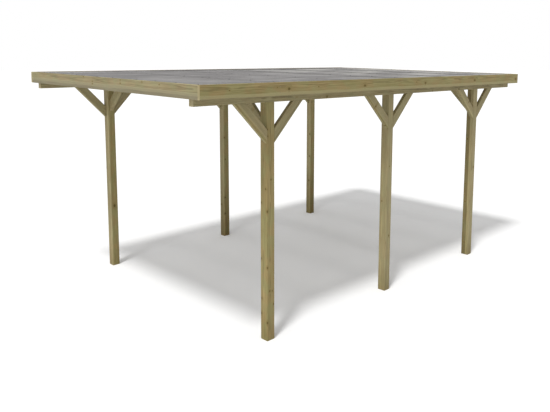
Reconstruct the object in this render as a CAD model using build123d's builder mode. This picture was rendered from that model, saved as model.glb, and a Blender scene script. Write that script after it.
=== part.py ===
from build123d import *

import os
from math import atan, cos, radians, sin, sqrt, tan

# A flat-roofed single carport of square-sawn softwood: two rows of three
# posts carry one beam each, rafters cross from beam to beam, sheets lie on the
# rafters and four fascia boards close the roof's edge. Knee braces stiffen
# every post along its beam, and the corner posts also towards the inside.
#
# Millimetres. +X points to the right-hand row of posts, +Y from the entry
# edge to the back edge, +Z up. The origin lies on the ground under the middle
# of the roof. The roof falls gently towards the back.

# ---------------------------------------------------------------- sizes

roof_width = 3130.0          # over the side fascias
roof_length = 5260.0         # over the end fascias, along the fall
front_height = 2405.0        # ground to the upper edge of the front fascia
roof_fall = 1.0              # degrees, down towards the back

post_size = 90.0             # square section
post_pitch = 1765.0          # centre to centre along a row
posts_per_row = 3
side_overhang = 120.0        # outer face of a post to the outer face of the fascia
post_edge = 5.0              # rounding of the long edges

beam_width = 60.0
beam_height = 90.0
timber_edge = 3.0            # rounding of the long edges of beams, braces, rafters

brace_depth = 90.0           # seen from the side of the brace
brace_width = 40.0
brace_reach = 365.0          # from the foot of a brace straight up to the timber over it

rafter_width = 45.0
rafter_height = 90.0
rafter_seat = 20.0           # depth of the notch over each beam
rafters_per_bay = 2          # rafter spaces between two posts of a row

fascia_height = 120.0
fascia_thickness = 28.0
fascia_edge = 2.0

lip = 2.0                    # fascia's upper edge above the crests of the sheets
sheet_rise = 18.0            # height of the trapezoidal profile
sheet_pitch = 76.0           # from crest to crest
sheet_thickness = 1.5
sheet_crest = 24.0           # flat width on top of a crest
sheet_slope = 9.0            # width of each flank
sheet_columns = 3            # sheets side by side, each in a front and a back length
sheet_lap = 200.0            # front lengths over back lengths, in the middle of the roof
sheet_gap = 2.0              # sheet to fascia, and sheet to sheet

# ---------------------------------------------------------------- derived

fall = radians(roof_fall)
inner_width = roof_width - 2 * fascia_thickness
inner_length = roof_length - 2 * fascia_thickness

# Depths below the plane of the fascia's upper edge, square to that plane.
sheet_bottom = lip + sheet_rise
rafter_bottom = sheet_bottom + rafter_height
beam_top = rafter_bottom - rafter_seat
beam_bottom = beam_top + beam_height

# The roof plane: x to the right, y down the fall from the front edge.
front_edge = -(roof_length * cos(fall) - fascia_height * sin(fall)) / 2
roof = Plane(
    origin=(0, front_edge, front_height),
    x_dir=(1, 0, 0),
    z_dir=(0, sin(fall), cos(fall)),
)

row_names = ("right", "left")
row_sides = (1, -1)
post_names = ("front", "middle", "back")
post_centres = [(i - (posts_per_row - 1) / 2) * post_pitch for i in range(posts_per_row)]
post_outer = roof_width / 2 - side_overhang
post_inner = post_outer - post_size


def height_at(y, depth):
    """Height above ground, at this y, of the plane that lies this deep under the roof plane."""
    return front_height - (y - front_edge) * tan(fall) - depth / cos(fall)


def along_fall(y, depth):
    """Distance down the roof plane of the point of a layer that has this y."""
    return (y - front_edge + depth * sin(fall)) / cos(fall)


os.makedirs("parts", exist_ok=True)


def save(piece, name):
    piece.part.label = name
    export_step(piece.part, f"parts/{name}.step")


# ---------------------------------------------------------------- posts

# Each post stands on the ground and is cut to the fall where the beam rests on it.
for side, row in zip(row_sides, row_names):
    for centre, place in zip(post_centres, post_names):
        front = centre - post_size / 2
        back = centre + post_size / 2
        face = Plane.YZ.offset(side * (post_outer + post_inner) / 2)
        with BuildPart() as post:
            with BuildSketch(face):
                with BuildLine():
                    Polyline(
                        (front, 0),
                        (back, 0),
                        (back, height_at(back, beam_bottom)),
                        (front, height_at(front, beam_bottom)),
                        close=True,
                    )
                make_face()
            extrude(amount=post_size / 2, both=True)
            fillet(post.edges().filter_by(Axis.Z), radius=post_edge)
        save(post, f"{place}_{row}_post")

# ---------------------------------------------------------------- beams

# One beam lies on each row, flush with the outer faces of the posts, and runs
# from the front fascia to the back fascia.
for side, row in zip(row_sides, row_names):
    with BuildPart() as beam:
        with BuildSketch(roof.offset(-beam_bottom)):
            with Locations((side * (post_outer - beam_width / 2), roof_length / 2)):
                Rectangle(beam_width, inner_length)
        extrude(amount=beam_height)
        fillet(beam.edges().filter_by(Axis(roof.origin, roof.y_dir)), radius=timber_edge)
    save(beam, f"{row}_beam")

# ---------------------------------------------------------------- braces along the rows

brace_cut = brace_depth * sqrt(2)   # height of the 45 degree cut at the post


def brace_outline(face_y, way):
    """Corners of a brace that leaves a post face at face_y and climbs towards way."""
    foot = height_at(face_y, beam_bottom) - brace_reach
    corners = [(face_y, foot + brace_cut), (face_y, foot)]
    for start in (foot, foot + brace_cut):
        run = (height_at(face_y, beam_bottom) - start) / (1 + way * tan(fall))
        corners.append((face_y + way * run, start + run))
    return corners


for side, row in zip(row_sides, row_names):
    for centre, place in zip(post_centres, post_names):
        for way, end in ((-1, "front"), (1, "back")):
            brace_middle = side * (post_outer - brace_width / 2)
            with BuildPart() as brace:
                with BuildSketch(Plane.YZ.offset(brace_middle)):
                    with BuildLine():
                        Polyline(*brace_outline(centre + way * post_size / 2, way), close=True)
                    make_face()
                extrude(amount=brace_width / 2, both=True)
                climb = Axis((0, 0, 0), (0, way, 1))
                fillet(brace.edges().filter_by(climb), radius=timber_edge)
            save(brace, f"{place}_{row}_brace_to_{end}")

# ---------------------------------------------------------------- rafters

# Rafters lie across the beams, one over every post, others between them and one
# behind each end fascia. A notch seats each of them on each beam.
bay = post_pitch / rafters_per_bay
rafter_places = [
    along_fall(post_centres[0] + i * bay, rafter_bottom)
    for i in range(rafters_per_bay * (posts_per_row - 1) + 1)
]
first_place = fascia_thickness + rafter_width / 2
rafter_places = [first_place, *rafter_places, roof_length - first_place]

for number, place in enumerate(rafter_places, start=1):
    with BuildPart() as rafter:
        with BuildSketch(roof.offset(-rafter_bottom)):
            with Locations((0, place)):
                Rectangle(inner_width, rafter_width)
        extrude(amount=rafter_height)
        fillet(rafter.edges().filter_by(Axis.X), radius=timber_edge)
        with BuildSketch(roof.offset(-rafter_bottom)):
            for side in row_sides:
                with Locations((side * (post_outer - beam_width / 2), place)):
                    Rectangle(beam_width, rafter_width)
        extrude(amount=rafter_seat, mode=Mode.SUBTRACT)
    save(rafter, f"rafter_{number}")

# ---------------------------------------------------------------- braces across

# The four corner posts also carry a brace towards the inside, up to the rafter
# that lies over them.
underside = roof.offset(-rafter_bottom)

for side, row in zip(row_sides, row_names):
    for centre, place in ((post_centres[0], "front"), (post_centres[-1], "back")):
        foot = height_at(centre, rafter_bottom) - brace_reach
        head = foot + brace_reach + brace_width   # past the rafter, and then cut off under it
        face_x = side * post_inner
        with BuildPart() as brace:
            with BuildSketch(Plane.XZ.offset(-centre)):
                with BuildLine():
                    Polyline(
                        (face_x, foot + brace_cut),
                        (face_x, foot),
                        (face_x - side * (head - foot), head),
                        (face_x - side * (head - foot - brace_cut), head),
                        close=True,
                    )
                make_face()
            extrude(amount=brace_width / 2, both=True)
            climb = Axis((0, 0, 0), (-side, 0, 1))
            fillet(brace.edges().filter_by(climb), radius=timber_edge)
            split(bisect_by=underside, keep=Keep.BOTTOM)
        save(brace, f"{place}_{row}_brace_inward")

# ---------------------------------------------------------------- fascia

for side, row in zip(row_sides, row_names):
    with BuildPart() as fascia:
        with BuildSketch(roof.offset(-fascia_height)):
            with Locations((side * (roof_width - fascia_thickness) / 2, roof_length / 2)):
                Rectangle(fascia_thickness, roof_length)
        extrude(amount=fascia_height)
        fillet(fascia.edges().filter_by(Axis(roof.origin, roof.y_dir)), radius=fascia_edge)
    save(fascia, f"{row}_fascia")

end_middles = (fascia_thickness / 2, roof_length - fascia_thickness / 2)

for end_middle, name in zip(end_middles, ("front", "back")):
    with BuildPart() as fascia:
        with BuildSketch(roof.offset(-fascia_height)):
            with Locations((0, end_middle)):
                Rectangle(inner_width, fascia_thickness)
        extrude(amount=fascia_height)
        fillet(fascia.edges().filter_by(Axis.X), radius=fascia_edge)
    save(fascia, f"{name}_fascia")

# ---------------------------------------------------------------- roof sheets

# Trapezoidal sheets lie side by side on the rafters, with their ribs down the
# fall. The back lengths lie flat on the rafters. The front lengths start on the
# first rafter and rise by one thickness to lap over the back ones.
sheet_width = (inner_width - (sheet_columns + 1) * sheet_gap) / sheet_columns
sheet_start = fascia_thickness + sheet_gap
sheet_end = roof_length - sheet_start
lap_start = (roof_length - sheet_lap) / 2
lap_rise = atan(sheet_thickness / (lap_start - sheet_start))
ribs = int(sheet_width // sheet_pitch)
sheet_margin = (sheet_width - ribs * sheet_pitch) / 2
trough = sheet_pitch - sheet_crest - 2 * sheet_slope


def profile_line(left, trough_height):
    """One face of a sheet, from its left end to its right end."""
    crest_height = trough_height + sheet_rise - sheet_thickness
    points = [(left, trough_height)]
    for rib in range(ribs):
        foot = left + sheet_margin + rib * sheet_pitch + trough / 2
        points.append((foot, trough_height))
        points.append((foot + sheet_slope, crest_height))
        points.append((foot + sheet_slope + sheet_crest, crest_height))
        points.append((foot + sheet_slope + sheet_crest + sheet_slope, trough_height))
    points.append((left + sheet_width, trough_height))
    return points


# Each length: its name, where it starts and ends along the roof, and its fall.
sheet_rows = (
    ("front", sheet_start, lap_start + sheet_lap, fall - lap_rise),
    ("back", lap_start, sheet_end, fall),
)

for row, start, end, slope in sheet_rows:
    upper_end = Plane(
        origin=roof.from_local_coords((0, start, -sheet_bottom)),
        x_dir=(1, 0, 0),
        z_dir=(0, -cos(slope), sin(slope)),
    )
    for column in range(sheet_columns):
        left = -inner_width / 2 + sheet_gap + column * (sheet_width + sheet_gap)
        lower_face = profile_line(left, 0)
        upper_face = profile_line(left, sheet_thickness)
        with BuildPart() as sheet:
            with BuildSketch(upper_end):
                with BuildLine():
                    Polyline(*lower_face, *reversed(upper_face), close=True)
                make_face()
            extrude(amount=start - end)
        save(sheet, f"{row}_sheet_{column + 1}")
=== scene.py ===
# %% [markdown]
# # A flat-roofed carport of impregnated pine
# The construction is already there: every post, beam, brace, rafter, board and
# roof sheet stands in its place at its real size. This lesson gives the timber
# its grain and knots and the roof its smoky plastic, adds the screws, and sets
# up light, floor and camera. Lengths are in metres. +Z is up, +Y runs from the
# entry edge to the back edge, and +X points to the right-hand row of posts.

from math import atan2, cos, pi, radians, sin, sqrt, tan
from random import Random

import bmesh
import bpy
from mathutils import Euler, Matrix, Vector


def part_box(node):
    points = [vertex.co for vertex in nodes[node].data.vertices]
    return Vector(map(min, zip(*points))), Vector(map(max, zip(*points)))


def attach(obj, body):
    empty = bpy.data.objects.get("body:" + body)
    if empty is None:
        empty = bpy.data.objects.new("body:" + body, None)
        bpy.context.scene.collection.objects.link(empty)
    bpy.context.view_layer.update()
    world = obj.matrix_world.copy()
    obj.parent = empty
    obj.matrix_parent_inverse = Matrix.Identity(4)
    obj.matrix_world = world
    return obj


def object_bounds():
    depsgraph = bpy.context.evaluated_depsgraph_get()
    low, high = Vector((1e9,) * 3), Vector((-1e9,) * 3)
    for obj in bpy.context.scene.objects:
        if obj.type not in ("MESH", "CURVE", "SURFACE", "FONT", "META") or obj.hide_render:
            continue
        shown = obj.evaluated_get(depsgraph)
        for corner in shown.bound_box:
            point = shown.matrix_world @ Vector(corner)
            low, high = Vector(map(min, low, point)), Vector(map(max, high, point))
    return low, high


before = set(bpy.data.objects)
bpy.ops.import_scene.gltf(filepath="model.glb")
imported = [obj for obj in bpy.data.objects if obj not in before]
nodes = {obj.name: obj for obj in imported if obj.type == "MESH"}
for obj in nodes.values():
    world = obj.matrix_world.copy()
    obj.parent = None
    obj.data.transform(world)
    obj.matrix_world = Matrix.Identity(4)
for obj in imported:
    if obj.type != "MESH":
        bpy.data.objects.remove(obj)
construction_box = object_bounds()
mm = 0.001
print(len(nodes), "pieces, box", construction_box)

# %% [markdown]
# ## Camera
# The eye is that of somebody on a low ladder, out to the front right. A long
# lens keeps the posts calm, and the lens is shifted down a little, as on an
# architect's camera, so that the posts lean in less than they would otherwise.

# %% Camera
camera_data = bpy.data.cameras.new("camera")
camera = bpy.data.objects.new("camera", camera_data)
bpy.context.scene.collection.objects.link(camera)
bpy.context.scene.camera = camera

camera_data.sensor_width = 36
camera_data.lens = 42
camera_data.shift_y = -0.14
camera_data.clip_end = 200
camera.location = (5.554, -5.611, 2.732)
camera_heading = radians(46.52)   # turned from +Y towards -X
camera_dip = radians(7.7)         # below the horizontal
camera.rotation_euler = (pi / 2 - camera_dip, 0, camera_heading)
carport_middle = (construction_box[0] + construction_box[1]) / 2
print("camera stands", round((camera.location - carport_middle).length, 2), "m away")

# %% [markdown]
# ## One helper for nodes
# Every finish below is a small network of nodes. One function adds a node, sets
# its properties, fills its inputs with values or with outputs of other nodes,
# and returns one of its outputs. Colours are written as on a paint card, in sRGB
# hex, and turned into the linear values that the shader works with.

# %% Node and colour helpers
def colour(card):
    """Linear colour from an sRGB hex card such as 9a8e6a."""
    parts = [int(card[i:i + 2], 16) / 255 for i in (0, 2, 4)]
    return (*[c / 12.92 if c <= 0.04045 else ((c + 0.055) / 1.055) ** 2.4 for c in parts], 1)


def add(tree, kind, inputs, output=0, stops=(), **settings):
    """Adds a node and returns one output. Inputs are values or outputs of other nodes."""
    node = tree.nodes.new("ShaderNode" + kind)
    for name, value in settings.items():
        setattr(node, name, value)
    for name, value in inputs.items():
        if isinstance(value, bpy.types.NodeSocket):
            tree.links.new(value, node.inputs[name])
        else:
            node.inputs[name].default_value = value
    for number, (place, card) in enumerate(stops):
        elements = node.color_ramp.elements
        stop = elements[number] if number < 2 else elements.new(place)
        stop.position = place
        stop.color = colour(card)
    return node.outputs[output] if node.outputs else None


def new_tree(owner):
    """The emptied node tree of a material or world."""
    owner.use_nodes = True
    owner.node_tree.nodes.clear()
    return owner.node_tree


# The sockets of a Mix node that mixes colours, and its result.
FACTOR, FIRST, SECOND, MIXED = 0, 6, 7, 2
print("paint card 9a8e6a in linear light:", [round(part, 3) for part in colour("9a8e6a")])

# %% [markdown]
# ## Sun and fill
# A high sun from the front right throws the roof's shadow back and to the left,
# under the carport. Thin haze makes it large, so the shadow's edge is soft. A
# weak, very broad lamp in front fills the shade under the roof.

# %% Sun and front fill
def sun_lamp(name, energy, size, height, bearing):
    """A sun at this height above the horizon. Its bearing turns from -Y towards +X."""
    data = bpy.data.lights.new(name, "SUN")
    lamp = bpy.data.objects.new(name, data)
    bpy.context.scene.collection.objects.link(lamp)
    data.energy = energy
    data.angle = radians(size)
    lamp.rotation_euler = (radians(90 - height), 0, radians(bearing))
    print(name, "stands", height, "degrees high")


sun_lamp("hazy sun", energy=1.95, size=8.7, height=63.4, bearing=21.9)
sun_lamp("front fill", energy=0.5, size=45, height=27, bearing=8)

# %% [markdown]
# ## Sky
# The sky is an even white. The eye and the gloss see it at full white, and the
# timber gets less of its light, so that its colours stay. A white wall behind
# the carport would be white too, but it would show its edges from other sides.

# %% Sky
sky_seen = 1.0
sky_light = 0.45
world = bpy.data.worlds.new("white sky")
bpy.context.scene.world = world
tree = new_tree(world)
camera_ray = add(tree, "LightPath", {}, "Is Camera Ray")
rays = camera_ray.node.outputs
seen = add(tree, "Math", {0: camera_ray, 1: rays["Is Glossy Ray"]}, operation="MAXIMUM")
seen = add(tree, "Math", {0: seen, 1: rays["Is Transmission Ray"]}, operation="MAXIMUM")
strength = add(tree, "MapRange", {"Value": seen, "To Min": sky_light, "To Max": sky_seen})
sky = add(tree, "Background", {"Color": colour("ffffff"), "Strength": strength})
add(tree, "OutputWorld", {"Surface": sky})
bpy.context.scene.view_settings.view_transform = "Standard"
print("the sky lights the timber at", sky_light, "of white")

# %% [markdown]
# ## Floor
# A wide pale floor carries nothing but the carport's shadow. To the eye it is
# lifted to white with a little light of its own. The light that it sends up to
# the timber is that of a pale concrete floor.

# %% Floor
floor_radius = 60
floor_bounce = 0.85
floor_seen = 0.96
floor_glow = 0.08
bpy.ops.object.select_all(action="DESELECT")
bpy.ops.mesh.primitive_circle_add(vertices=96, radius=floor_radius, fill_type="NGON",
                                  location=(0, 0, 0))
floor = bpy.context.object
floor.name = "floor"
floor_material = bpy.data.materials.new("pale studio floor")
tree = new_tree(floor_material)
camera_ray = add(tree, "LightPath", {}, "Is Camera Ray")
bouncing = add(tree, "BsdfDiffuse", {"Color": (floor_bounce, floor_bounce, floor_bounce, 1)})
matt = add(tree, "BsdfDiffuse", {"Color": (floor_seen, floor_seen, floor_seen, 1)})
glow = add(tree, "Emission", {"Color": colour("ffffff"), "Strength": floor_glow})
to_the_eye = add(tree, "AddShader", {0: matt, 1: glow})
floor_finish = add(tree, "MixShader", {0: camera_ray, 1: bouncing, 2: to_the_eye})
add(tree, "OutputMaterial", {"Surface": floor_finish})
floor.data.materials.append(floor_material)
print("the floor reaches", floor_radius, "m out")

# %% [markdown]
# ## Impregnated pine
# A sawn timber is a square cut out of a trunk, so its finish is made the same
# way. The pattern is a solid trunk: year rings round a pith, brown and olive
# heartwood inside, pale sapwood outside, and branches that leave the pith
# sideways and show as knots. Each piece cuts its own trunk in its own place, so
# its faces and its end grain belong together. An image could not wrap round the
# corners like this.

# %% A timber's place in its trunk
next_cut = 3.7     # from one piece's middle to the next one's, along the trunk


def trunk_space(tree, centre, turn, pith, number):
    """Metres along the grain (X) and across it (Y, Z): from the centre, and from the pith."""
    place = add(tree, "TexCoord", {}, "Object")
    piece = add(tree, "Mapping", {"Vector": place, "Location": centre, "Rotation": turn},
                vector_type="TEXTURE")
    from_pith = (number * next_cut, -pith[0], -pith[1])
    return piece, add(tree, "VectorMath", {0: piece, 1: from_pith}, operation="ADD")


def blots(tree, vector, size, **settings):
    """Noise whose blots have this size along X, Y and Z. Where a size is 0 it doesn't change."""
    share = [1 / length if length else 0 for length in size]
    stretched = add(tree, "VectorMath", {0: vector, 1: share}, operation="MULTIPLY")
    return add(tree, "TexNoise", {"Vector": stretched, "Scale": 1.0, **settings})


print("each timber is cut", next_cut, "m further along the trunk")

# %% [markdown]
# ## Knots
# A pine sends out a ring of branches every few decimetres, and the saw cuts
# each of them somewhere. Unrolled round the pith, the trunk's skin is a sheet of
# cells with one possible branch in each, and only a few cells have one. Where
# a piece's knots are known, they are listed, and chance adds none.

# %% Distance to the nearest knot
knot_spacing = 105 * mm
knot_largest = 8 * mm     # radius
knot_roundness = 0.75     # a knot is a little longer along the grain than across
knot_share = 0.3          # of the cells, those that have one
knot_disorder = 0.9       # at 0 the cells' middles would lie in a grid
skin_radius = 50 * mm     # where the trunk is unrolled
trifle = 0.001            # so that nothing is divided by zero


def knot_distance(tree, piece, trunk, turn, centre, known):
    """How far a point is from the nearest knot's middle, in knot radii."""
    along = add(tree, "SeparateXYZ", {0: trunk}, "X")
    y, z = along.node.outputs["Y"], along.node.outputs["Z"]
    angle = add(tree, "Math", {0: z, 1: y}, operation="ARCTAN2")
    along = add(tree, "Math", {0: along, 1: knot_roundness / knot_spacing}, operation="MULTIPLY")
    around = add(tree, "Math", {0: angle, 1: skin_radius / knot_spacing}, operation="MULTIPLY")
    unrolled = add(tree, "CombineXYZ", {"X": along, "Y": around})
    cell = add(tree, "TexVoronoi", {"Vector": unrolled, "Scale": 1.0,
                                    "Randomness": knot_disorder},
               "Distance", voronoi_dimensions="2D")
    luck = add(tree, "SeparateColor", {0: cell.node.outputs["Color"]})
    share = 0 if known else knot_share
    size = add(tree, "MapRange", {"Value": luck, "From Min": 1 - share, "From Max": 1 + trifle,
                                  "To Min": trifle, "To Max": knot_largest / knot_spacing})
    nearest = add(tree, "Math", {0: cell, 1: size}, operation="DIVIDE")
    rounded = add(tree, "VectorMath", {0: piece, 1: (knot_roundness, 1, 1)}, operation="MULTIPLY")
    for spot, radius in known:
        middle = turn.to_matrix().transposed() @ (Vector(spot) - centre)
        middle.x *= knot_roundness
        away = add(tree, "VectorMath", {0: rounded, 1: middle}, "Value", operation="DISTANCE")
        away = add(tree, "Math", {0: away, 1: radius}, operation="DIVIDE")
        nearest = add(tree, "Math", {0: nearest, 1: away}, operation="MINIMUM")
    return nearest


print("a branch may stand every", round(knot_spacing / mm), "mm, and", knot_share, "of them do")

# %% [markdown]
# ## The colour of a knot
# A sound knot is dark and brown, and its resin stains the wood round it. Both
# fade with the distance in knot radii, so small and large knots are alike.

# %% Knot and halo
knot_fade = (0.75, 1.15)     # full inside the first and gone beyond the second, in radii
halo_fade = (0.9, 3.4)
halo_strength = 0.8
knot_halo_card, knot_card = "857342", "5d4d18"


def fading(tree, nearest, fade):
    """One near a knot and nothing far from it."""
    return add(tree, "MapRange", {"Value": nearest, "From Min": fade[1], "From Max": fade[0]},
               interpolation_type="SMOOTHSTEP")


def knotted(tree, wood, knot, halo):
    """The wood with its brown halos and dark knots."""
    halo = add(tree, "Math", {0: halo, 1: halo_strength}, operation="MULTIPLY")
    wood = add(tree, "Mix", {FACTOR: halo, FIRST: wood, SECOND: colour(knot_halo_card)},
               MIXED, data_type="RGBA")
    return add(tree, "Mix", {FACTOR: knot, FIRST: wood, SECOND: colour(knot_card)},
               MIXED, data_type="RGBA")


print("the largest chance knot is", round(2 * knot_largest / mm), "mm across")

# %% [markdown]
# ## Year rings
# Each year lays a pale, soft band of spring wood and a thin, dark, hard band of
# summer wood round the trunk. The rings are the distance from the pith, divided
# into years. No trunk is round, so they wander, and they bulge round a knot.

# %% Year rings
ring_width = 3.6 * mm     # one year of a quick-grown pine
wander_size = (620 * mm, 62 * mm, 62 * mm)
ring_wander = 14 * mm
knot_bulge = 9 * mm
ring_stops = [(0, "ffffff"), (0.45, "f4f1ea"), (0.84, "9c9276"), (0.93, "b0a78e"), (1, "ffffff")]


def year_rings(tree, trunk, halo):
    """The distance from the pith as the rings go, the season of the year, and its shade."""
    wander = blots(tree, trunk, wander_size, Detail=3.0, Roughness=0.55)
    across = add(tree, "VectorMath", {0: trunk, 1: (0, 1, 1)}, operation="MULTIPLY")
    radius = add(tree, "VectorMath", {0: across}, "Value", operation="LENGTH")
    radius = add(tree, "Math", {0: wander, 1: ring_wander, 2: radius}, operation="MULTIPLY_ADD")
    radius = add(tree, "Math", {0: halo, 1: knot_bulge, 2: radius}, operation="MULTIPLY_ADD")
    year = add(tree, "Math", {0: radius, 1: ring_width}, operation="DIVIDE")
    season = add(tree, "Math", {0: year}, operation="FRACT")
    return radius, season, add(tree, "ValToRGB", {0: season}, stops=ring_stops)


print("a face 90 mm wide cuts up to", round(90 * mm / ring_width), "years")

# %% [markdown]
# ## Heartwood and sapwood
# The inner rings are dead, resinous heartwood, which is darker and browner, and
# the outer ones are pale sapwood. Where one turns into the other runs a clean
# pale line. The rings decide where, so on a board's face the line is a long band.

# %% Heartwood and sapwood
sapwood_stops = [(0.3, "998e67"), (0.5, "a39770"), (0.7, "ada27b")]
heartwood_stops = [(0.3, "938656"), (0.5, "9e9061"), (0.7, "a8996b")]
sap_line_card = "bdb282"
blotch_size = (290 * mm, 29 * mm, 29 * mm)
heart_edge = 4 * mm       # to either side, from heartwood to sapwood
line_inset = 1 * mm       # how far the pale line reaches into the heartwood
ring_strength = 0.5


def heart_and_sap(tree, trunk, radius, ring, heart, line):
    """The colour of the wood with its rings, and where it is heartwood."""
    blotch = blots(tree, trunk, blotch_size, Detail=4.0, Roughness=0.6)
    sapwood = add(tree, "ValToRGB", {0: blotch}, stops=sapwood_stops)
    heartwood = add(tree, "ValToRGB", {0: blotch}, stops=heartwood_stops)
    in_heart = add(tree, "MapRange", {"Value": radius, "From Min": heart + heart_edge,
                                      "From Max": heart - heart_edge},
                   interpolation_type="SMOOTHSTEP")
    paleness, half = line
    line_radius = heart + half - line_inset
    sap_line = add(tree, "Math", {0: radius, 1: line_radius, 2: half}, operation="COMPARE")
    sap_line = add(tree, "Math", {0: sap_line, 1: paleness}, operation="MULTIPLY")
    wood = add(tree, "Mix", {FACTOR: in_heart, FIRST: sapwood, SECOND: heartwood},
               MIXED, data_type="RGBA")
    wood = add(tree, "Mix", {FACTOR: sap_line, FIRST: wood, SECOND: colour(sap_line_card)},
               MIXED, data_type="RGBA")
    wood = add(tree, "Mix", {FACTOR: ring_strength, FIRST: wood, SECOND: ring},
               MIXED, data_type="RGBA", blend_type="MULTIPLY")
    return wood, in_heart


print(len(sapwood_stops), "shades of sapwood and", len(heartwood_stops), "of heartwood")

# %% [markdown]
# ## Salts and fibres
# Pressure drives preserving salts into the wood, and they turn it olive in one
# place and brown in the next, as a weak tint over its own colour. Fine fibres
# run along it and change its lightness, and each piece has a tone of its own.
# Where the sun has bleached it, its colour is weaker.

# %% Salts and fibres
salt_stops = [(0.42, "f7fff7"), (0.58, "fff8f0")]     # from olive to brown
salt_size = (140 * mm, 110 * mm, 110 * mm)
salt_strength = (0.4, 1.0)     # in sapwood and in heartwood
fibre_lightness = (0.92, 1.07)
noise_spread = (0.3, 0.7)      # nearly all values of a noise lie in here
# Real fibres are finer than a hair. These are as coarse as they need to be to show.
fibre_size = (110 * mm, 2.4 * mm, 2.4 * mm)


def salted(tree, trunk, wood, in_heart):
    """The wood with its tint of salts."""
    salts = blots(tree, trunk, salt_size, Detail=2.0, Roughness=0.5)
    salts = add(tree, "ValToRGB", {0: salts}, stops=salt_stops)
    share = add(tree, "MapRange", {"Value": in_heart, "To Min": salt_strength[0],
                                   "To Max": salt_strength[1]})
    return add(tree, "Mix", {FACTOR: share, FIRST: wood, SECOND: salts},
               MIXED, data_type="RGBA", blend_type="MULTIPLY")


def toned(tree, wood, fibre, in_heart, tone, bleached):
    """The wood with its fibres, at the lightness of this piece."""
    fine = add(tree, "MapRange", {"Value": fibre, "From Min": noise_spread[0],
                                  "From Max": noise_spread[1], "To Min": fibre_lightness[0],
                                  "To Max": fibre_lightness[1]})
    lightness = add(tree, "MapRange", {"Value": in_heart, "To Min": tone[0], "To Max": tone[1]})
    fine = add(tree, "Math", {0: fine, 1: lightness}, operation="MULTIPLY")
    return add(tree, "HueSaturation", {"Color": wood, "Value": fine, "Saturation": 1 - bleached})


print("fibres are", round(fibre_size[1] / mm, 1), "mm wide")

# %% [markdown]
# ## Sawn ends and damp feet
# A sawn end drinks more of the salts' water and dries paler. It is found by the
# way it faces, along the grain. A foot is painted darker towards the ground, as
# painted shade for the light that a foot gets less of near the floor, and that is
# found by the height.

# %% Sawn ends and painted shade at the feet
end_grain_card = "aa9d7a"
end_grain_share = 0.6
# The card with which painted shade darkens a post's foot.
foot_shade_card = "c8bda2"
# The cosine of the angle between the grain and the way that a face looks.
sawn_from, sawn_to = 0.9, 0.97


def with_sawn_ends(tree, wood, turn):
    """The wood, paler where it is cut across the grain."""
    facing = add(tree, "TexCoord", {}, "Normal")
    grain = turn.to_matrix() @ Vector((1, 0, 0))
    cut = add(tree, "VectorMath", {0: facing, 1: grain}, "Value", operation="DOT_PRODUCT")
    cut = add(tree, "Math", {0: cut}, operation="ABSOLUTE")
    cut = add(tree, "MapRange", {"Value": cut, "From Min": sawn_from, "From Max": sawn_to,
                                 "To Max": end_grain_share})
    return add(tree, "Mix", {FACTOR: cut, FIRST: wood, SECOND: colour(end_grain_card)},
               MIXED, data_type="RGBA")


def with_painted_foot_shade(tree, wood, foot_shade):
    """The wood, with painted shade that darkens it towards the ground."""
    foot_shade_height, darkness = foot_shade
    height = add(tree, "SeparateXYZ", {0: add(tree, "TexCoord", {}, "Object")}, "Z")
    foot_darkening = add(tree, "MapRange", {"Value": height, "From Min": foot_shade_height, "From Max": 0.0,
                                 "To Max": darkness})
    return add(tree, "Mix", {FACTOR: foot_darkening, FIRST: wood, SECOND: colour(foot_shade_card)},
               MIXED, data_type="RGBA", blend_type="MULTIPLY")


print("a sawn end takes", round(100 * end_grain_share), "per cent of its pale card")

# %% [markdown]
# ## A timber's finish
# The steps above come together in one material for each piece. Pine that was
# sawn, impregnated and dried outdoors is matt. Drying leaves the summer wood a
# little proud and the fibres rough, so the same rings and fibres make a relief.
# It is a quarter of a millimetre deep, too shallow to be worth real geometry.

# %% A timber's finish
plain_line = (0.4, 7 * mm)
pine_roughness = 0.72
pine_ior = 1.5
relief_depth = 0.25 * mm
relief_strength = 0.5
fibre_relief = 0.5     # of a ring's relief


def timber(name, number, known, turn, pith, heart, tone, line=plain_line, foot_shade=None,
           bleached=0.0):
    """Cuts a piece from a trunk whose pith runs beside the piece's centre.

    Number places the cut along the trunk, and known are its knots. Heart is the
    heartwood's radius, tone the lightness of sapwood and heartwood, and line how pale
    the line between them is, and half its width. The foot's painted shade is given as
    the height up to which it darkens a foot, and how dark it is at the ground. Bleached
    is the share of its colour that the sun has taken.
    """
    low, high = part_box(name)
    centre = (low + high) / 2
    turn = Euler(turn)
    material = bpy.data.materials.new("impregnated pine " + name.replace("_", " "))
    tree = new_tree(material)
    piece, trunk = trunk_space(tree, centre, turn, pith, number)
    nearest = knot_distance(tree, piece, trunk, turn, centre, known)
    knot, halo = fading(tree, nearest, knot_fade), fading(tree, nearest, halo_fade)
    radius, season, ring = year_rings(tree, trunk, halo)
    fibre = blots(tree, trunk, fibre_size, Detail=2.0, Roughness=0.6)

    wood, in_heart = heart_and_sap(tree, trunk, radius, ring, heart, line)
    wood = salted(tree, trunk, wood, in_heart)
    wood = toned(tree, wood, fibre, in_heart, tone, bleached)
    wood = knotted(tree, wood, knot, halo)
    wood = with_sawn_ends(tree, wood, turn)
    # Painted shade at a post's foot.
    if foot_shade:
        wood = with_painted_foot_shade(tree, wood, foot_shade)

    relief = add(tree, "Math", {0: fibre, 1: fibre_relief, 2: season}, operation="MULTIPLY_ADD")
    bump = add(tree, "Bump", {"Height": relief, "Distance": relief_depth,
                              "Strength": relief_strength})
    surface = add(tree, "BsdfPrincipled", {"Base Color": wood, "Roughness": pine_roughness,
                                           "IOR": pine_ior, "Normal": bump})
    add(tree, "OutputMaterial", {"Surface": surface})
    body = nodes[name]
    body.data.materials.clear()
    body.data.materials.append(material)


timbers = sorted(name for name in nodes if "sheet" not in name)
print(len(timbers), "timbers to cut")

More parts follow.
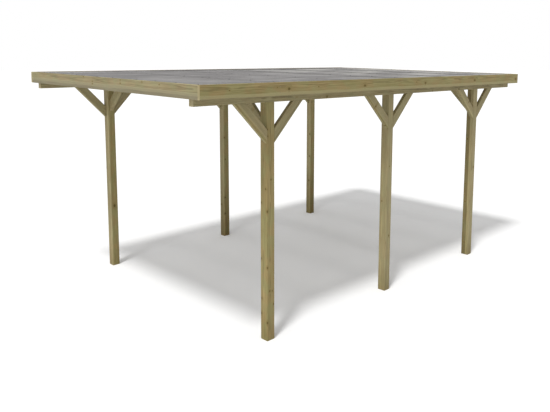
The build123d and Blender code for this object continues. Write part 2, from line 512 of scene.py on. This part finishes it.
# %% [markdown]
# ## Knots whose places are known
# The knots that catch the eye stand where they stand on the real carport. On a
# post they are given by face, distance from the edge between the entry face and
# the right-hand face, height and radius. On a board they are given by distance
# from the middle of its length, depth below its upper edge and radius.

# %% Known knots, in millimetres
post_knots = {
    "front_right_post": [
        ("right", 5, 1970, 6), ("right", 8, 1910, 5), ("right", 46, 1514, 6),
        ("entry", 22, 1431, 7), ("entry", 78, 1297, 7), ("right", 0, 1227, 10),
        ("entry", 78, 775, 8), ("right", 0, 702, 8), ("right", 30, 476, 7),
        ("right", 62, 470, 5), ("entry", 76, 395, 8), ("right", 80, 340, 7),
        ("entry", 80, 250, 8), ("right", 0, 177, 9),
    ],
    "middle_right_post": [("entry", 60, 1010, 5), ("right", 40, 1400, 5), ("right", 55, 620, 6)],
    "back_right_post": [
        ("entry", 62, 1514, 8), ("entry", 66, 1257, 5), ("right", 60, 1150, 7),
        ("entry", 66, 934, 5), ("entry", 64, 700, 8), ("entry", 50, 160, 7),
    ],
    "front_left_post": [("right", 45, 750, 13), ("entry", 80, 1220, 6)],
    "middle_left_post": [
        ("right", 18, 1413, 7), ("right", 25, 1106, 7), ("right", 18, 560, 8),
        ("entry", 62, 455, 9), ("right", 18, 326, 8),
    ],
    "back_left_post": [("entry", 20, 1290, 7), ("entry", 26, 935, 7), ("entry", 32, 539, 7)],
}
board_knots = {
    "right_fascia": [
        (-2332, 52, 4), (-1800, 43, 4), (-1657, 60, 12), (-1275, 51, 4), (-602, 62, 11),
        (286, 50, 5), (455, 63, 11), (1513, 58, 12), (2569, 65, 12),
    ],
    "front_fascia": [
        (-329, 9, 6), (-150, 46, 5), (-150, 68, 5), (373, 11, 5), (373, 43, 5), (738, 13, 5),
        (1006, 21, 4),
    ],
}
print(sum(map(len, post_knots.values())), "on posts,", sum(map(len, board_knots.values())),
      "on boards")

# %% [markdown]
# ## From a list to a spot
# A knot's middle lies on the face of its piece. The right-hand board follows the
# roof, which falls by a degree, so its upper edge is lower towards the back.

# %% Places of the known knots
fall = radians(1.0)     # of the roof, towards the back


def post_knot(name, face, aside, height, radius):
    """The middle of a knot on a post, and its radius."""
    low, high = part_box(name)
    if face == "entry":
        return (high.x - aside * mm, low.y, height * mm), radius * mm
    return (high.x, low.y + aside * mm, height * mm), radius * mm


def board_knot(name, along, depth, radius):
    """The middle of a knot on the outer face of a board, and its radius."""
    low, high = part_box(name)
    if name == "front_fascia":
        return (along * mm, low.y, high.z - depth * mm), radius * mm
    edge = high.z - (along * mm - low.y) * tan(fall)
    return (high.x, along * mm, edge - depth * mm), radius * mm


known_knots = {name: [post_knot(name, *knot) for knot in knots]
               for name, knots in post_knots.items()}
known_knots |= {name: [board_knot(name, *knot) for knot in knots]
                for name, knots in board_knots.items()}
print(len(known_knots), "timbers have knots placed by hand")

# %% [markdown]
# ## Posts
# Posts come from thin trunks, whose heart lies in them. They stand apart and are
# seen best, so they are chosen one by one. The left-hand row stands in the
# roof's shadow, so its feet get the most painted shade.

# %% How the posts are cut
upright = (0, -pi / 2, 0)
# The pith's distance from the middle is measured to the back and to the left.
post_cuts = {
    "front_right_post": dict(pith=(-10 * mm, 8 * mm), heart=90 * mm,
                             tone=(1.0, 1.0), foot_shade=(0.35, 0.5)),
    "middle_right_post": dict(pith=(8 * mm, 10 * mm), heart=48 * mm,
                              tone=(1.0, 0.98), foot_shade=(0.3, 0.7)),
    # The back right post's entry face shows dark heartwood, which also stands as painted shade on
    # that face.
    "back_right_post": dict(pith=(-38 * mm, 34 * mm), heart=52 * mm,
                            tone=(1.06, 0.7), foot_shade=(0.3, 0.7)),
    "front_left_post": dict(pith=(6 * mm, -34 * mm), heart=46 * mm,
                            tone=(1.03, 1.05), foot_shade=(0.4, 0.6)),
    "middle_left_post": dict(pith=(4 * mm, -38 * mm), heart=44 * mm,
                             tone=(0.95, 0.98), foot_shade=(0.9, 0.95)),
    "back_left_post": dict(pith=(-6 * mm, -38 * mm), heart=44 * mm,
                           tone=(1.06, 1.02), foot_shade=(0.8, 0.95)),
}
print(len(post_cuts), "posts chosen")

# %% [markdown]
# ## Boards
# Boards come from beside the heart of a thick trunk. The pith lies inside the
# carport and a little above a board's middle, so brown heartwood shows along its
# upper part, the pale line below that, and darker sapwood along its lower edge.
# The front board faces the sun and is a little bleached.

# %% How the boards are cut
down_the_fall = (0, fall, pi / 2)
crosswise = (-fall, 0, 0)
pith_inwards, pith_up = 60 * mm, 27 * mm
board_heart = 100 * mm
board_line = (0.8, 9 * mm)
board_tone = (0.82, 0.98)
front_board = dict(heart=88 * mm, line=(0.8, 7 * mm), tone=(0.68, 0.95), bleached=0.16)


def board_cut(name, lightness):
    """How a board is cut from its trunk."""
    inwards = 1 if name in ("right_fascia", "front_fascia") else -1
    cut = dict(turn=down_the_fall if name in ("right_fascia", "left_fascia") else crosswise,
               pith=(inwards * pith_inwards, pith_up), heart=board_heart, line=board_line,
               tone=[share * lightness for share in board_tone])
    if name == "front_fascia":
        cut |= front_board
    return cut


print("a board's pith lies", round(pith_inwards / mm), "mm inside its middle")

# %% [markdown]
# ## Beams, rafters and braces
# Nobody chooses these, so chance places their pith and sets their tone. Beams
# and rafters lie beside the heart. Braces are nearly all sapwood.

# %% How beams, rafters and braces are cut
# The pith's distance beside the middle, how far it strays beside and above that,
# and the heartwood's radius.
mill_cuts = {
    "beam": (65 * mm, 15 * mm, 20 * mm, 70 * mm),
    "rafter": (55 * mm, 15 * mm, 20 * mm, 60 * mm),
    "brace": (35 * mm, 15 * mm, 30 * mm, 20 * mm),
}


def mill_turn(name):
    """The way in which the grain of a beam, rafter or brace runs."""
    if name.endswith("_beam"):
        return down_the_fall
    if name.startswith("rafter"):
        return crosswise
    if name.endswith("inward"):
        return (0, -pi / 4, 0 if "left" in name else pi)
    return (0, -pi / 4, pi / 2 if name.endswith("back") else -pi / 2)


def mill_cut(name, beside, above, lightness):
    """How a beam, rafter or brace is cut. Beside and above are its luck, from -1 to 1."""
    kind = next(kind for kind in mill_cuts if kind in name)
    middle, stray_beside, stray_above, heart = mill_cuts[kind]
    return dict(turn=mill_turn(name), heart=heart, tone=(lightness, lightness),
                pith=(middle + stray_beside * beside, stray_above * above))


for kind in mill_cuts:
    print(sum(kind in name for name in timbers), kind + "s")

# %% [markdown]
# ## Every timber from its own trunk
# Each piece now gets its own place in the trunk and its own tone. Chance draws
# the same three numbers for every piece, needed or not, so that a change to one
# piece leaves all others as they are.

# %% Cut every timber
chance = Random(4)
for number, name in enumerate(timbers):
    beside, above = chance.uniform(-1, 1), chance.uniform(-1, 1)
    lightness = chance.uniform(0.95, 1.05)
    if name.endswith("_post"):
        cut = dict(turn=upright, **post_cuts[name])
    elif name.endswith("_fascia"):
        cut = board_cut(name, lightness)
    else:
        cut = mill_cut(name, beside, above, lightness)
    timber(name, number, known_knots.get(name, ()), **cut)
print(len(timbers), "timbers cut")

# %% [markdown]
# ## Smoke grey roof sheets
# The sheets are extruded plastic, smoke grey and dulled by years of weather.
# They have large clouds and fine streaks down the fall, and their rear half is
# painted paler: painted light for the lit floor that shows through the sheets there.
# Noise in real sizes makes all of this. It is laid out over the whole roof, so it
# runs on from one sheet to the next.

# %% Weathered grey, with painted light
smoke_stops = [(0.36, "929090"), (0.5, "a3a1a0"), (0.64, "b6b4b3")]
# The pale card paints the light of the lit floor that shows through the rear half.
painted_rear_light_card = "cac8c4"
cloud_size = (450 * mm, 900 * mm, 0)
streak_size = (38 * mm, 700 * mm, 0)
streak_share = 0.35
painted_rear_light_from, painted_rear_light_to = 0.35, 0.6     # values of the clouds between which the painted light sets in


def weathered_and_lit_grey(tree, place, rear):
    """The sheets' grey, with clouds, streaks and the rear half painted paler as painted light."""
    cloud = blots(tree, place, cloud_size, Detail=3.0)
    streak = blots(tree, place, streak_size, Detail=4.0, Roughness=0.6)
    weather = add(tree, "Mix", {"Factor": streak_share, "A": cloud, "B": streak},
                  data_type="FLOAT")
    grey = add(tree, "ValToRGB", {0: weather}, stops=smoke_stops)
    painted_rear_light = add(tree, "MapRange", {"Value": cloud, "From Min": painted_rear_light_from, "From Max": painted_rear_light_to})
    painted_rear_light = add(tree, "Math", {0: rear, 1: painted_rear_light}, operation="MULTIPLY")
    return add(tree, "Mix", {FACTOR: painted_rear_light, FIRST: grey, SECOND: colour(painted_rear_light_card)},
               MIXED, data_type="RGBA")


print("streaks are", round(streak_size[0] / mm), "mm wide")

# %% [markdown]
# ## Shade over the rafters
# Over a rafter no light comes back up from below, and the sheet looks darker.
# The same holds for the lap in the middle, where two sheets lie on each other.
# Rafters lie at an even pitch from the middle one, which is under the lap, so
# the distance to the nearest one is a zigzag along the roof.

# %% Shade over the rafters
rafter_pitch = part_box("rafter_5")[0].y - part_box("rafter_4")[0].y
lap_middle = (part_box("rafter_4")[0].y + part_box("rafter_4")[1].y) / 2
rafter_dark = (25 * mm, 150 * mm, 0.75)     # full up to here, gone there, and how dark
lap_dark = (90 * mm, 220 * mm, 0.35)
front_share = 0.25                          # what is left of a rafter's shade in front


def shade_near(tree, distance, dark):
    """Shade that fades with the distance."""
    full, gone, darkness = dark
    return add(tree, "MapRange", {"Value": distance, "From Min": gone, "From Max": full,
                                  "To Max": darkness}, interpolation_type="SMOOTHSTEP")


def rafter_shade(tree, along, rear):
    """How dark the rafters and the lap make the sheets, from 0 to 1."""
    from_lap = add(tree, "Math", {0: along, 1: lap_middle}, operation="SUBTRACT")
    from_rafter = add(tree, "Math", {0: from_lap, 1: rafter_pitch / 2}, operation="PINGPONG")
    over_rafter = shade_near(tree, from_rafter, rafter_dark)
    from_lap = add(tree, "Math", {0: from_lap}, operation="ABSOLUTE")
    over_lap = shade_near(tree, from_lap, lap_dark)
    share = add(tree, "MapRange", {"Value": rear, "To Min": front_share, "To Max": 1.0})
    over_rafter = add(tree, "Math", {0: over_rafter, 1: share}, operation="MULTIPLY")
    return add(tree, "Math", {0: over_rafter, 1: over_lap}, operation="MAXIMUM")


print("a rafter every", round(rafter_pitch / mm), "mm")

# %% [markdown]
# ## Dirt and painted shade along the left-hand board
# Along the left-hand board the sheets are darker: dirt, and painted shade for the
# shaded inner side of the board. It is weak in front and strongest towards the back.

# %% Dirt and painted shade along the left-hand board
dirt_and_shade_start, dirt_and_shade_full = -1.05, -1.45     # across the roof
faintest_at, strongest_from = -1.8, -0.4     # along the roof
faintest_share = 0.1                           # of the strength, where the band is faintest


def board_dirt_and_shade(tree, side, along):
    """How dark the dirt and painted shade make the sheets, from 0 to 1."""
    dirt_and_shade = add(tree, "MapRange", {"Value": side, "From Min": dirt_and_shade_start, "From Max": dirt_and_shade_full,
                                  "To Max": 1.0}, interpolation_type="SMOOTHSTEP")
    back_share = add(tree, "MapRange", {"Value": along, "From Min": faintest_at,
                                     "From Max": strongest_from, "To Min": faintest_share},
                  interpolation_type="SMOOTHSTEP")
    return add(tree, "Math", {0: dirt_and_shade, 1: back_share}, operation="MULTIPLY")


# %% [markdown]
# ## Translucent plastic
# A third of the light passes the sheets, so the floor shows the roof's shadow in
# grey. A refracting plastic would throw a black shadow here, or take far longer
# to render, so a share of the surface is simply clear. Weather has roughened the
# plastic, which leaves it a dull, wide gleam.

# %% Roof sheets
rear_starts, rear_full = -0.7, 1.1     # along the roof
shade_and_dirt_card = "6b6967"
sheet_opacity = 0.64
plastic_ior = 1.53
plastic_roughness = 0.6
plastic_gleam = 0.25
sheet_material = bpy.data.materials.new("smoke grey weathered roof plastic")
tree = new_tree(sheet_material)
place = add(tree, "TexCoord", {}, "Object")
along = add(tree, "SeparateXYZ", {0: place}, "Y")
side = along.node.outputs["X"]
rear = add(tree, "MapRange", {"Value": along, "From Min": rear_starts, "From Max": rear_full},
           interpolation_type="SMOOTHSTEP")
# Painted light makes the rear half of the sheets paler.
grey = weathered_and_lit_grey(tree, place, rear)
# The rafters' painted shade, and the dirt and painted shade along the left-hand board, darken the
# grey.
shade_and_dirt = add(tree, "Math", {0: rafter_shade(tree, along, rear), 1: board_dirt_and_shade(tree, side, along)},
             operation="MAXIMUM")
grey = add(tree, "Mix", {FACTOR: shade_and_dirt, FIRST: grey, SECOND: colour(shade_and_dirt_card)},
           MIXED, data_type="RGBA")
surface = add(tree, "BsdfPrincipled", {"Base Color": grey, "Roughness": plastic_roughness,
                                       "IOR": plastic_ior, "Specular IOR Level": plastic_gleam,
                                       "Alpha": sheet_opacity})
add(tree, "OutputMaterial", {"Surface": surface})
sheets = [name for name in nodes if "sheet" in name]
for name in sheets:
    nodes[name].data.materials.clear()
    nodes[name].data.materials.append(sheet_material)
print(len(sheets), "sheets finished")

# %% [markdown]
# ## Working on a disc
# The head of a wood screw and the cap of a roofing screw both start as a flat
# disc. The tools of edit mode act on what is selected, so faces, edges and
# corners are picked by their place or by the way they face, as by hand.

# %% Start a disc, and pick on it
disc_sides = 12


def start_disc(radius, low, high):
    """A new disc round the Z axis, in edit mode, with nothing selected."""
    bpy.ops.object.select_all(action="DESELECT")
    bpy.ops.mesh.primitive_cylinder_add(vertices=disc_sides, radius=radius, depth=high - low,
                                        location=(0, 0, (low + high) / 2))
    bpy.ops.object.transform_apply(location=True)
    bpy.ops.object.mode_set(mode="EDIT")
    bpy.ops.mesh.select_all(action="DESELECT")
    return bpy.context.object


def select(piece, kind, wanted):
    """Selects the faces, edges or corners (verts) for which wanted says yes."""
    bpy.ops.mesh.select_all(action="DESELECT")
    bpy.ops.mesh.select_mode(type={"faces": "FACE", "edges": "EDGE", "verts": "VERT"}[kind])
    shape = bmesh.from_edit_mesh(piece.data)
    for part in getattr(shape, kind):
        if wanted(part):
            part.select_set(True)
    bmesh.update_edit_mesh(piece.data)


def on_top(face):
    """The flat face on top, and none of the small ones that ring it."""
    return face.normal.z > 0.99 and len(face.verts) > 4


print("a disc has", disc_sides, "sides")

# %% [markdown]
# ## Screws in the timber
# Countersunk screws hold the braces and the boards. One head is modelled, with a
# star recess, and copied. Its rim is bevelled, its top is inset to an inner ring
# of twelve corners, every second one moves in to make the star, and the star is
# pushed down. The head stands half a millimetre proud, because the timber dries
# and shrinks round it.

# %% One screw head
head_radius = 4 * mm
head_proud, head_sunk = 0.5 * mm, 1.5 * mm
rim_bevel = 0.3 * mm
rim_width = 1.2 * mm
recess_depth = 1.1 * mm
star_waist = 0.68     # the notches' radius as a share of the points'
inner_ring = head_radius - rim_bevel - rim_width


def upper_edge(edge):
    """An edge of the disc's top."""
    return all(corner.co.z > 0 for corner in edge.verts)


def star_notch(corner):
    """Every second corner of the inner ring."""
    number = round(atan2(corner.co.y, corner.co.x) / (2 * pi / disc_sides))
    return corner.co.xy.length < inner_ring and number % 2


head = start_disc(head_radius, -head_sunk, head_proud)
select(head, "edges", upper_edge)
bpy.ops.mesh.bevel(offset=rim_bevel, segments=1)
select(head, "faces", on_top)
bpy.ops.mesh.inset(thickness=rim_width)
select(head, "verts", star_notch)
bpy.ops.transform.resize(value=(star_waist, star_waist, 1))
select(head, "faces", on_top)
bpy.ops.mesh.extrude_region_move(TRANSFORM_OT_translate={"value": (0, 0, -recess_depth)})
bpy.ops.object.mode_set(mode="OBJECT")
print("screw head has", len(head.data.polygons), "faces")

# %% [markdown]
# ## Where the braces are screwed
# A place is a spot and the way that the head faces. A brace has two screws at
# its foot and two at its head, in its lower face. Its foot is the lowest corner
# of its box, on the side of its post, and the lower face climbs from there at 45
# degrees.

# %% Screw places in braces
end_distances = (50 * mm, 90 * mm)    # from the end of a brace, along its lower face
up = Vector((0, 0, 1))
brace_places = []

for name in timbers:
    if "brace" not in name:
        continue
    low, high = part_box(name)
    way = Vector((-1 if "right" in name else 1, 0, 0))
    if not name.endswith("inward"):
        way = Vector((0, 1 if name.endswith("back") else -1, 0))
    foot = Vector(((low.x + high.x) / 2, (low.y + high.y) / 2, low.z))
    axis = 0 if way.x else 1
    foot[axis] = low[axis] if way[axis] > 0 else high[axis]
    climb, facing = (way + up) / sqrt(2), (way - up) / sqrt(2)
    face_length = (high.z - low.z) * sqrt(2)
    for distance in end_distances:
        brace_places.append((foot + climb * distance, facing))
        brace_places.append((foot + climb * (face_length - distance), facing))
print(len(brace_places), "screws in braces")

# %% [markdown]
# ## The roof's directions and edges
# The boards stand square to the roof, which falls by a degree. So places on the
# roof and the boards are measured from the upper edges of the end boards, down
# the fall and square to it. Measured level and upright they would drift away.

# %% The roof's directions and edges
board_height = 120 * mm
roof_up = Vector((0, sin(fall), cos(fall)))
roof_down_fall = Vector((0, cos(fall), -sin(fall)))
to_the_right = Vector((1, 0, 0))
front_low, front_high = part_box("front_fascia")
back_low, back_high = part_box("back_fascia")
entry_edge = Vector((0, front_low.y + board_height * sin(fall), front_high.z))
rear_edge = Vector((0, back_high.y, back_low.z + board_height * cos(fall)))
rafters = [name for name in timbers if name.startswith("rafter")]
rafter_middles = [(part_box(name)[0].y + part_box(name)[1].y) / 2 for name in rafters]
print("the roof is", round((rear_edge - entry_edge).length, 3), "m long")

# %% [markdown]
# ## Where the boards are screwed
# A side board has two screws at the end of each rafter, and an end board has
# pairs of screws along it, at an even spacing from its middle.

# %% Screw places in boards
side_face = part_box("right_fascia")[1].x
screw_depths = (38 * mm, 88 * mm)     # below a board's upper edge
pair_spacing = 490 * mm               # along an end board
pairs_each_side = 3                   # of the pair in its middle
board_places = []

for y in rafter_middles:
    down = (y - entry_edge.y) / cos(fall)
    for depth in screw_depths:
        spot = entry_edge + roof_down_fall * down - roof_up * depth
        board_places.append((spot + to_the_right * side_face, to_the_right))
        board_places.append((spot - to_the_right * side_face, -to_the_right))
for step in range(-pairs_each_side, pairs_each_side + 1):
    sideways = to_the_right * (step * pair_spacing)
    for depth in screw_depths:
        board_places.append((entry_edge + sideways - roof_up * depth, -roof_down_fall))
        board_places.append((rear_edge + sideways - roof_up * depth, roof_down_fall))
print(len(board_places), "screws in boards")

# %% [markdown]
# ## Copying a screw
# Each screw is a copy of the modelled one with its own mesh, turned to face out
# of the timber and moved to its place, and all copies of a kind are joined into
# one piece. An array modifier would repeat them in straight rows only.

# %% Copy a model to its places
def spread(name, model, places, finish):
    """One piece made of copies of a model, each with its own mesh."""
    copies = []
    for spot, facing in places:
        copy = model.copy()
        copy.data = model.data.copy()
        copy.data.transform(Matrix.LocRotScale(spot, facing.to_track_quat("Z", "Y"), None))
        bpy.context.scene.collection.objects.link(copy)
        copies.append(copy)
    bpy.ops.object.select_all(action="DESELECT")
    for copy in copies:
        copy.select_set(True)
    bpy.context.view_layer.objects.active = copies[0]
    bpy.ops.object.join()
    piece = bpy.context.object
    piece.name = piece.data.name = name
    piece.data.materials.clear()
    piece.data.materials.append(finish)
    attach(piece, "root")
    bpy.data.objects.remove(model)
    print(name, len(piece.data.polygons), "faces")


print(len(brace_places) + len(board_places), "wood screws to copy")

# %% [markdown]
# ## Yellow zinc
# Wood screws are plated with yellow zinc, which is bright only when it is new.
# Outdoors it fades to a dull, blotchy, warm grey, so the metal is rough and its
# colour is uneven.

# %% Screws in braces and boards
def mottled(name, stops, blot, **shader):
    """A finish with an uneven colour. Blot is the size of a stain."""
    material = bpy.data.materials.new(name)
    tree = new_tree(material)
    place = add(tree, "TexCoord", {}, "Object")
    stain = add(tree, "TexNoise", {"Vector": place, "Scale": 1 / blot, "Detail": 3.0})
    tint = add(tree, "ValToRGB", {0: stain}, stops=stops)
    surface = add(tree, "BsdfPrincipled", {"Base Color": tint, **shader})
    add(tree, "OutputMaterial", {"Surface": surface})
    return material


zinc = mottled("faded yellow zinc plating", [(0.35, "7c7562"), (0.65, "a69f88")], 3 * mm,
               **{"Metallic": 1.0, "Roughness": 0.5})
spare = head.copy()
spare.data = head.data.copy()
spread("brace_screws", head, brace_places, zinc)
spread("board_screws", spare, board_places, zinc)

# %% [markdown]
# ## Roofing screws
# The sheets are held on the crests of their ribs, over every rafter, by screws
# with a broad sealing washer under a cap of the sheets' own grey. The cap is a
# disc whose top is drawn up and in twice, to a low dome.

# %% One screw cap
washer_radius = 9 * mm
washer_low, washer_high = -0.5 * mm, 1.5 * mm      # from the crest
washer_brim = 2.5 * mm
dome_steps = ((2.5 * mm, 0.9), (1.2 * mm, 0.6))    # rise, and share of the width below

cap = start_disc(washer_radius, washer_low, washer_high)
select(cap, "faces", on_top)
bpy.ops.mesh.inset(thickness=washer_brim)
for rise, narrower in dome_steps:
    bpy.ops.mesh.extrude_region_move(TRANSFORM_OT_translate={"value": (0, 0, rise)})
    bpy.ops.transform.resize(value=(narrower, narrower, 1))
bpy.ops.object.mode_set(mode="OBJECT")
print("screw cap has", len(cap.data.polygons), "faces")

# %% [markdown]
# ## Where the sheets are screwed
# Every fourth rib of a sheet is screwed down. The front lengths climb by one
# thickness on their way down the fall, to lie on the rear ones at the lap, and
# their caps climb with them. The caps are moulded plastic, half matt, and have
# stayed darker than the sheets.

# %% Screw caps on the roof
rib_pitch = 76 * mm
screwed_ribs = (0, 4, 8, 12)
first_crest = 55 * mm      # from a sheet's left edge
crest_depth = 2 * mm       # below the boards' upper edges
sheet_thickness = 1.5 * mm
front_length_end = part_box("front_sheet_1")[1].y
cap_places = []

for y in rafter_middles:
    lift = 0
    if y < front_length_end:
        lift = sheet_thickness * (y - entry_edge.y) / -entry_edge.y
    row = entry_edge + roof_down_fall * (y - entry_edge.y) / cos(fall)
    row -= roof_up * (crest_depth - lift)
    for number in (1, 2, 3):
        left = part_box(f"front_sheet_{number}")[0].x
        for rib in screwed_ribs:
            crest = to_the_right * (left + first_crest + rib * rib_pitch)
            cap_places.append((row + crest, roof_up))
cap_plastic = mottled("smoke grey screw caps", [(0.35, "5c5b5f"), (0.65, "6f6e70")], 40 * mm,
                      **{"Roughness": 0.5, "IOR": 1.5})
spread("roof_screws", cap, cap_places, cap_plastic)
